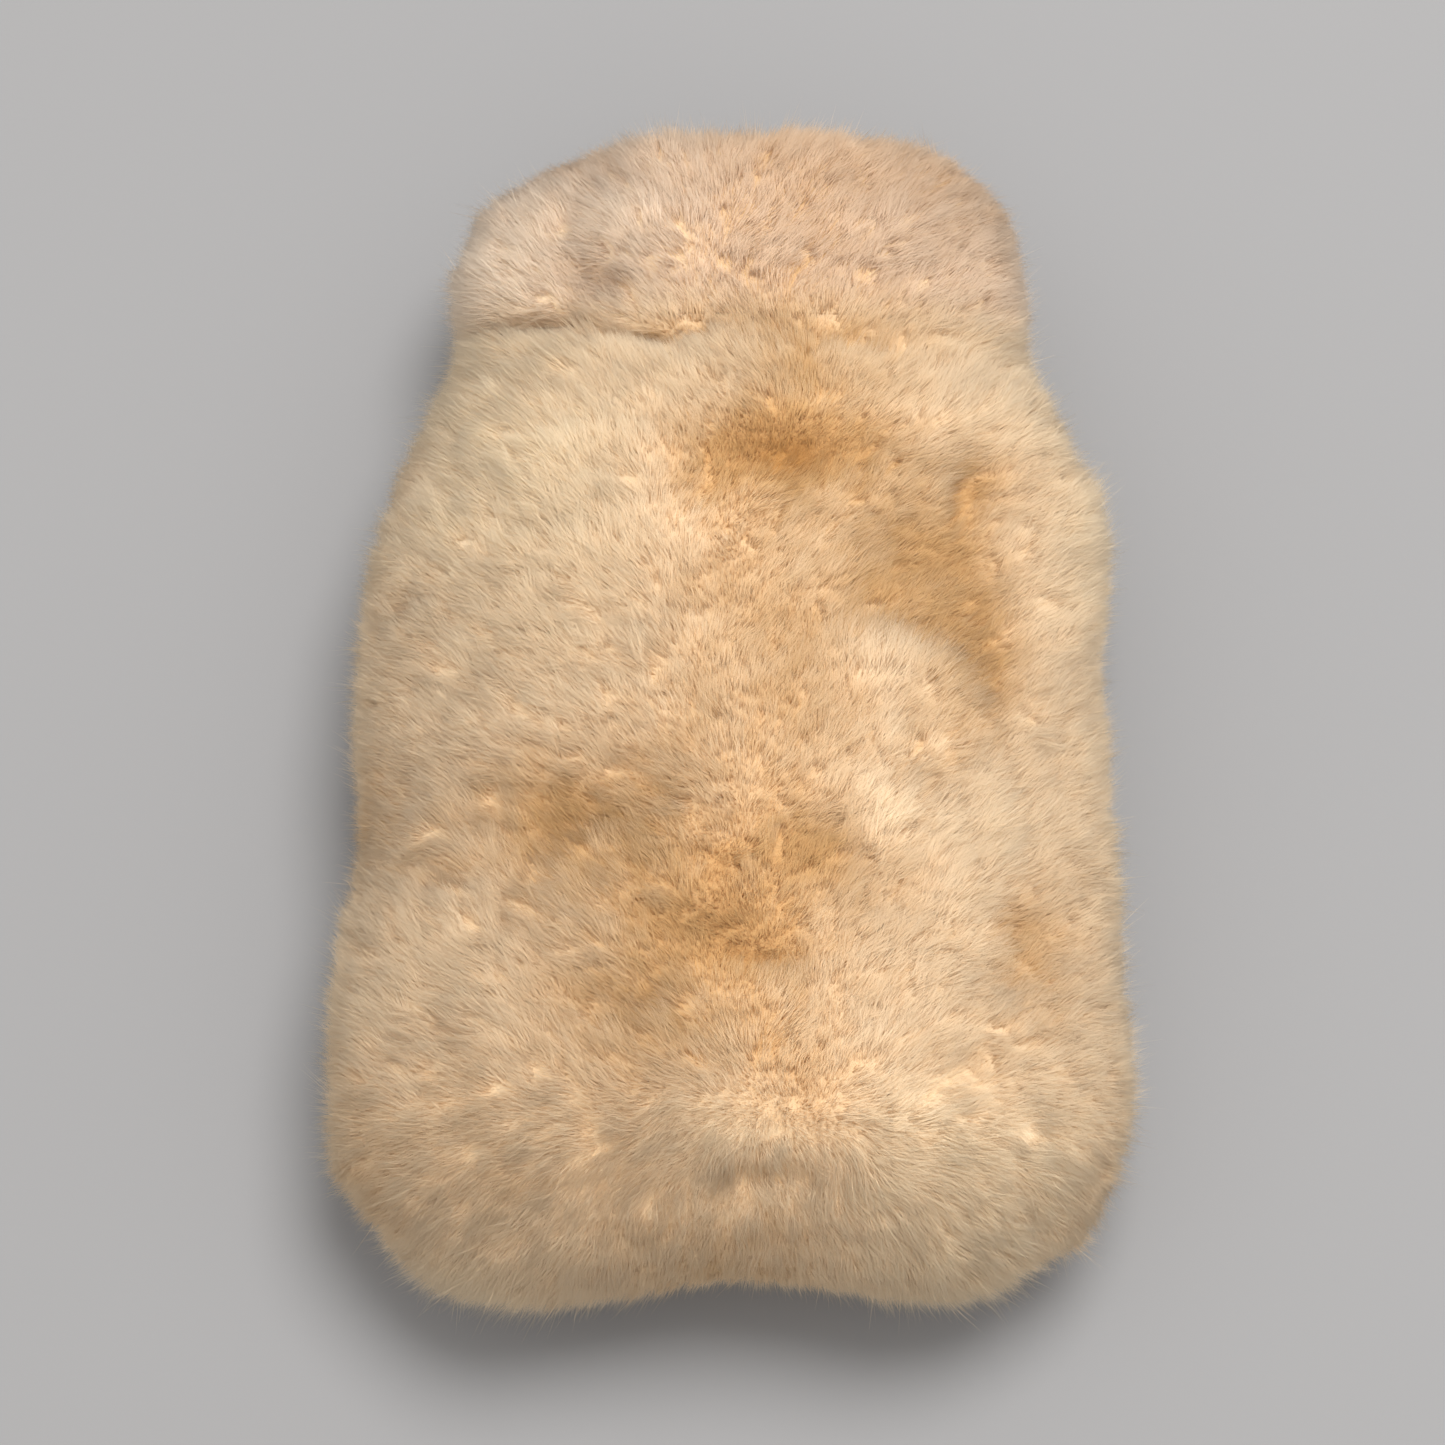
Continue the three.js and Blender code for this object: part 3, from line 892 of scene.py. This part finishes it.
def suede_material():
    """The flesh side of a tanned sheepskin: a short nap with cloudy patches."""
    shade = Shade("suede", roughness=0.85, specular=0.15, sheen=0.3)
    nap = shade.noise(1400, detail=4, roughness=0.7)
    value = shade.total(0.0, (nap, 0.35), (shade.noise(45), 0.65))
    shade.colour(shade.ramp(value, [
        (0.32, linear(176, 140, 100)), (0.5, linear(198, 164, 124)), (0.68, linear(214, 184, 148)),
    ]))
    shade.bump(value, 0.0004, 0.6)
    return shade.material


WAVE_SCALE = 0.314  # of a wave texture whose bands are a metre apart


def woven_material(name, thread_m, dark, light, roughness=0.8):
    """A plain weave: threads that cross at the given spacing, with thicker and thinner places."""
    shade = Shade(name, roughness=roughness, specular=0.2, sheen=0.2)
    waves = [shade.bands(direction, WAVE_SCALE / thread_m, distortion=0.6) for direction in ("X", "Y")]
    weave = shade.math("MAXIMUM", *waves)
    value = shade.total(0.0, (weave, 0.5), (shade.noise(300), 0.5))
    shade.colour(shade.ramp(value, [(0.3, linear(*dark)), (0.75, linear(*light))]))
    shade.bump(weave, thread_m * 0.4, 0.5)
    return shade.material


def make_skins():
    material = suede_material()
    for pattern, from_y, to_y in ZONES:
        for name, side, turn in SIDES:
            rows, angles = stations(2.0, from_y, to_y), half_angles(turn)
            inside = surface(rows, angles, SKIN_INSIDE)
            inside = inside + SKIN_WAVE * noise(inside, 6, 51)[..., None]
            points, quads = half_shell(surface(rows, angles, 0.0), inside, side)
            half = pattern.format(name)
            add_piece(f"{half}_suede", points, quads, material, f"{half}_skin")


def make_linings():
    """Two brushed panels inside the hand part, a little slack between their seams."""
    material = woven_material("lining cloth", 0.0006, (214, 204, 186), (240, 234, 222))
    for name, side, turn in SIDES:
        rows, angles = stations(2.0, END_Y, WRIST_Y - FOLD_GAP), half_angles(turn)
        slack = LINING_SLACK * noise(surface(rows, angles, LINING_INSIDE), 16, 52)
        outside = surface(rows, angles, LINING_OUTSIDE - LINING_SLACK + slack)
        points, quads = half_shell(outside, surface(rows, angles, LINING_INSIDE + slack), side)
        piece = add_piece(f"{name}_lining_cloth", points, quads, material, f"{name}_lining")


RIB_PITCH = 3.0
RIB_HEIGHT = 0.55
RIB_POINTS = 10  # across each rib
RIB_ROUNDNESS = 0.7


def knit_material():
    """Rib knit: rows of small loops with a little fluff."""
    shade = Shade("rib knit", roughness=0.85, specular=0.15, sheen=0.3)
    loops = shade.bands("Y", 180.0, distortion=2.5, detail=2.0)
    value = shade.total(0.0, (loops, 0.55), (shade.noise(700), 0.45))
    shade.colour(shade.ramp(value, [(0.3, linear(196, 172, 138)), (0.7, linear(226, 208, 180))]))
    shade.bump(value, 0.0004, 0.7)
    return shade.material


def even_angles(count, y, offset, at_rim=0.0):
    """Angles evenly spaced along the section at y, all the way round, and the length round it."""
    fine = np.linspace(0, 2 * math.pi, 2000)
    ring = surface(np.array([(y, 0, at_rim)]), fine, offset)[0]
    length = np.concatenate([[0], np.cumsum(np.linalg.norm(np.diff(ring, axis=0), axis=1))])
    return np.interp(np.linspace(0, length[-1], count, endpoint=False), length, fine), length[-1]


def make_facing():
    """The rib-knit tube inside the cuff. Its ribs run along the arm."""
    _, around = even_angles(4, WRIST_Y, LINING_INSIDE)
    ribs = round(around / RIB_PITCH)
    angles, _ = even_angles(ribs * RIB_POINTS, WRIST_Y, LINING_INSIDE)
    rows = stations(1.5, WRIST_Y + FOLD_GAP, SKIN_RIM_Y)
    across = np.arange(len(angles)) / RIB_POINTS
    rib = RIB_HEIGHT * np.abs(np.sin(across * math.pi)) ** RIB_ROUNDNESS
    outside = surface(rows, angles, LINING_OUTSIDE)
    inside = surface(rows, angles, LINING_INSIDE + RIB_HEIGHT - rib[None, :])
    points, quads = shell(settle(outside), settle(inside), around=True)
    piece = add_piece("cuff_rib_knit", points, quads, knit_material(), "cuff_facing")


# ---------------------------------------------------------------- seams

TAPE_START_Y = WRIST_Y - 16
TAPE_INSIDE = -7.0
TAPE_OUTSIDE = 3.0
TAPE_HALF_THICKNESS = 0.7
TAPE_PROFILE = (0.55, 0.9, 1, 0.85, 0.8, 0.85, 1, 0.9, 0.55)  # of it, from edge to edge
CUFF_TAPE_PROFILE = (0.55, 0.9, 1, 0.85, 1, 0.9, 0.55)
CUFF_SEAM_START_Y = WRIST_Y + 2
CUFF_SEAM_END_Y = SKIN_RIM_Y - RIM_BOW - 1

STITCH_PITCH = 3.2
STITCH_LENGTH = 2.6
STITCH_RADIUS = 0.3
STITCH_RISE = 0.6  # of its middle, as a share of its radius
STITCH_THINNING = 0.75  # at its ends
STITCH_RINGS = 7
STITCH_SIDES = 6
STITCH_END = np.array([(0, 1, 2, 3), (0, 3, 4, 5)])  # the six points at its end, as quads
SEAM_STITCH_OFFSET = TAPE_OUTSIDE + 0.75
WRIST_STITCH_Y = WRIST_Y - 4.65
MOUTH_STITCH_RISE = 0.5


def seam_line(offset, count=500):
    """The seam's line (count, 3) at an offset, from the left of the wrist by way of the closed end."""
    turn = np.linspace(-1, 1, count)
    t = 1 - np.cos(turn * math.pi / 2)
    y = lerp(END_Y - offset, TAPE_START_Y, t)
    round_corner = round_off((CORNER_Y - y) / (CORNER_Y - END_Y + offset), CORNER_POWER)
    x = np.sign(turn) * (skin_half_width(y) + at_wrist(offset, y)) * round_corner
    return np.stack([x, y, np.full(count, SEAM_HEIGHT)], axis=1)


def cuff_line(side, offset, count=40):
    y = np.linspace(CUFF_SEAM_START_Y, CUFF_SEAM_END_Y, count)
    return np.stack([side * (skin_half_width(y) + offset), y, np.full(count, SEAM_HEIGHT)], axis=1)


def tape(line_at, inside, profile):
    """A flat strip with rolled edges, out from an offset. line_at gives its line at each offset."""
    offsets = np.linspace(inside, TAPE_OUTSIDE, len(profile))
    grid = np.stack([line_at(offset) for offset in offsets], axis=1)
    lift = np.outer(profile, (0, 0, TAPE_HALF_THICKNESS))
    return shell(settle(grid + lift), settle(grid - lift), around=False)


def stitches(line, lift, closed=False):
    """A row of short threads along a line (n, 3), each arched towards lift (n, 3)."""
    if closed:
        line, lift = (np.concatenate([v, v[:1]]) for v in (line, lift))
    length = np.concatenate([[0], np.cumsum(np.linalg.norm(np.diff(line, axis=0), axis=1))])
    count = round(length[-1] / STITCH_PITCH)
    ring = np.linspace(-0.5, 0.5, STITCH_RINGS)
    s = (np.arange(count)[:, None] + 0.5) * length[-1] / count + ring * STITCH_LENGTH
    at = np.stack([np.interp(s, length, line[:, k]) for k in range(3)], axis=-1)
    up = unit(np.stack([np.interp(s, length, lift[:, k]) for k in range(3)], axis=-1))
    at = at + up * (STITCH_RADIUS * STITCH_RISE * (1 - (2 * ring) ** 2))[:, None]
    side = unit(np.cross(np.gradient(at, axis=1), up))
    thick = STITCH_RADIUS * (1 - (2 * ring) ** 6 * STITCH_THINNING)
    turn = 2 * math.pi * np.arange(STITCH_SIDES) / STITCH_SIDES
    spoke = side[:, :, None] * np.cos(turn)[:, None] + up[:, :, None] * np.sin(turn)[:, None]
    points = at[:, :, None] + spoke * thick[:, None, None]
    last = (STITCH_RINGS - 1) * STITCH_SIDES
    caps = np.concatenate([STITCH_END, last + STITCH_END[:, ::-1]])
    tube = grid_quads(0, STITCH_RINGS, STITCH_SIDES, around=True)
    one = np.concatenate([tube, caps])[:, ::-1]
    quads = one[None] + (np.arange(count) * STITCH_RINGS * STITCH_SIDES)[:, None, None]
    return settle(points.reshape(-1, 3)), quads.reshape(-1, 4)


def thread_material():
    shade = Shade("thread", roughness=0.5, specular=0.35, sheen=0.1)
    twist = shade.noise(2600, detail=2)
    shade.colour(shade.ramp(twist, [(0.35, linear(196, 176, 140)), (0.65, linear(222, 206, 174))]))
    shade.bump(twist, 0.0001, 0.6)
    return shade.material


def ring_line(y, at_rim=0.0, rise=0.0):
    """A line round the mitt between skin and lining, and the way out of the skin along it."""
    middle = (BAND_INSIDE + BAND_OUTSIDE) / 2
    row = np.array([(y, 0, at_rim)])
    angles, _ = even_angles(400, y, middle, at_rim)
    line = surface(row, angles, middle)[0] + (0, rise, 0)
    outward = surface(row, angles, middle + 1)[0] + (0, rise, 0) - line
    return line, outward


def make_seams():
    cloth = woven_material("seam tape cloth", 0.0005, (186, 164, 128), (212, 194, 160))
    points, quads = tape(seam_line, TAPE_INSIDE, TAPE_PROFILE)
    add_piece("side_seam_tape", points, quads, cloth, "seam_tape")
    for name, side in (("left", -1), ("right", 1)):
        points, quads = tape(partial(cuff_line, side), BAND_INSIDE, CUFF_TAPE_PROFILE)
        add_piece(f"cuff_{name}_seam_tape", points, quads, cloth, f"cuff_seam_{name}")
    thread = thread_material()
    line = seam_line(SEAM_STITCH_OFFSET)
    points, quads = stitches(line, seam_line(SEAM_STITCH_OFFSET + 1) - line)
    add_piece("side_seam_stitches", points, quads, thread, "seam_thread")
    points, quads = stitches(*ring_line(WRIST_STITCH_Y), closed=True)
    add_piece("wrist_stitches", points, quads, thread, "wrist_thread")
    line, _ = ring_line(CUFF_ROUND_Y, at_rim=1.0, rise=MOUTH_STITCH_RISE)
    points, quads = stitches(line, np.tile((0, 1.0, 0), (len(line), 1)), closed=True)
    add_piece("mouth_stitches", points, quads, thread, "mouth_thread")


# ---------------------------------------------------------------- elastic and label

ELASTIC_START_Y = WRIST_Y - 14
ELASTIC_END_Y = WRIST_Y - 6
ELASTIC_CORDS = 7
CORD_POINTS = 8  # across each cord
CORD_HEIGHT = 0.12
PUCKERS = 80  # round the wrist
PUCKER_POINTS = 8  # across each pucker
PUCKER_HEIGHT = 0.06
ELASTIC_INSET = 0.15  # from both sides of its layer


def make_elastic():
    """A woven band: rubber cords that go round under crossing threads, slightly puckered."""
    steps = CORD_POINTS * ELASTIC_CORDS + 1
    rows = np.array([(y, 0, 0) for y in np.linspace(ELASTIC_START_Y, ELASTIC_END_Y, steps)])
    columns = PUCKERS * PUCKER_POINTS
    angles, _ = even_angles(columns, (ELASTIC_START_Y + ELASTIC_END_Y) / 2, BAND_INSIDE)
    cord = CORD_HEIGHT * np.abs(np.sin(np.linspace(0, ELASTIC_CORDS * math.pi, steps)))[:, None]
    pucker = PUCKER_HEIGHT * np.sin(np.arange(columns) / PUCKER_POINTS * 2 * math.pi)[None, :]
    outside = surface(rows, angles, BAND_OUTSIDE - ELASTIC_INSET + cord / 2 + pucker)
    inside = surface(rows, angles, BAND_INSIDE + ELASTIC_INSET - cord / 2 + pucker)
    points, quads = shell(settle(outside), settle(inside), around=True)
    pale, white = (214, 210, 202), (244, 241, 235)
    material = woven_material("elastic weave", 0.0004, pale, white, roughness=0.65)
    add_piece("wrist_elastic_band", points, quads, material, "wrist_elastic")


def label_material():
    shade = Shade("label satin", roughness=0.42, specular=0.35, sheen=0.15)
    float_threads = shade.bands("X", 900.0, distortion=0.4)
    value = shade.total(0.0, (float_threads, 0.3), (shade.noise(220), 0.7))
    shade.colour(shade.ramp(value, [(0.25, linear(226, 222, 212)), (0.7, linear(246, 244, 238))]))
    shade.bump(float_threads, 0.0001, 0.4)
    return shade.material


LABEL_POINTS = (41, 25)  # across and along
LABEL_GAP = 0.05
LABEL_CURL = 0.55
LABEL_WAVE = 0.06
LABEL_THICKNESS = 0.22
HEM_THICKNESS = 0.12
HEM_SHARE = 0.14  # of the label's length
HEM_STEP = 0.04
LABEL_STITCH_INSET = (1.2, 0.9)  # from its sides and its sewn edge
LABEL_STITCH_HEIGHT = 0.39


def make_label():
    """A blank satin label, sewn along the edge towards the mouth. Its free end curls up a little."""
    low, high = (np.array(corner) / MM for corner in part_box("care_label"))
    x, y = np.meshgrid(*(np.linspace(low[k], high[k], LABEL_POINTS[k]) for k in range(2)))
    free = 1 - (y - low[1]) / (high[1] - low[1])
    wave = LABEL_WAVE * np.sin((x - low[0]) / (high[0] - low[0]) * 3 * math.pi)
    z = low[2] + LABEL_GAP + LABEL_CURL * free**2 + wave * free
    bottom = np.stack([x, y, z], axis=-1)
    hem = HEM_THICKNESS * smooth((HEM_SHARE - free) / HEM_STEP)
    top = bottom + np.stack([0 * x, 0 * x, LABEL_THICKNESS + hem], axis=-1)
    lean = (LEAN_AT_CUFF, 0, 0)
    points, quads = shell(top + lean, bottom + lean, around=False)
    satin = label_material()
    piece = add_piece("blank_care_label", points, quads, satin, "care_label", "label")
    from_side, from_edge = LABEL_STITCH_INSET
    across = np.linspace(low[0] + from_side, high[0] - from_side, 40)
    line = np.array([(x, high[1] - from_edge, low[2] + LABEL_STITCH_HEIGHT) for x in across])
    points, quads = stitches(line, np.tile((0, 0, 1.0), (len(line), 1)))
    sewn = to_object("label_stitches", points, quads=quads)
    sewn.data.materials.append(bpy.data.materials["thread"])
    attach(sewn, "label")


# ---------------------------------------------------------------- camera, floor, light

# In metres, and the camera's film and lens in millimetres
CAMERA_DISTANCE = 0.9
CAMERA_ELEVATION = math.radians(70)
CAMERA_AIM = Vector((0, -0.0074, 0.030))
CAMERA_FILM = 36
CAMERA_LENS = 96
FLOOR_HALF = 3.0
WORLD_COLOUR = (1.0, 0.99, 0.98, 1)
WORLD_STRENGTH = 0.85
KEY_AT = (0.40, 0.55, 1.9)
KEY_SIZE = 1.2
KEY_POWER = 39


def make_camera():
    camera = bpy.data.objects.new("camera", bpy.data.cameras.new("camera"))
    bpy.context.scene.collection.objects.link(camera)
    camera.data.sensor_width = CAMERA_FILM
    camera.data.lens = CAMERA_LENS
    back = Vector((0, -math.cos(CAMERA_ELEVATION), math.sin(CAMERA_ELEVATION)))
    camera.location = CAMERA_AIM + back * CAMERA_DISTANCE
    camera.rotation_euler = (-back).to_track_quat("-Z", "Y").to_euler()
    bpy.context.scene.camera = camera


def make_floor():
    half = FLOOR_HALF / MM
    corners = np.array([(-half, -half, 0), (half, -half, 0), (half, half, 0), (-half, half, 0)])
    floor = to_object("floor", corners, quads=np.array([[0, 1, 2, 3]]), smooth_faces=False)
    floor.data.materials.append(floor_material())


def area_light(name, at, aim, size, power):
    data = bpy.data.lights.new(name, "AREA")
    data.shape = "DISK"
    data.size = size
    data.energy = power
    light = bpy.data.objects.new(name, data)
    light.location = at
    light.rotation_euler = (Vector(aim) - Vector(at)).to_track_quat("-Z", "Y").to_euler()
    bpy.context.scene.collection.objects.link(light)


def make_light():
    world = bpy.data.worlds.new("studio")
    world.use_nodes = True
    background = world.node_tree.nodes["Background"]
    background.inputs["Color"].default_value = WORLD_COLOUR
    background.inputs["Strength"].default_value = WORLD_STRENGTH
    bpy.context.scene.world = world
    area_light("key", KEY_AT, (0, 0, 0), size=KEY_SIZE, power=KEY_POWER)
    bpy.context.scene.view_settings.view_transform = "Standard"


make_camera()
make_floor()
make_light()
make_undercoats()
make_skins()
make_linings()
make_facing()
make_seams()
make_elastic()
make_label()
make_hair()
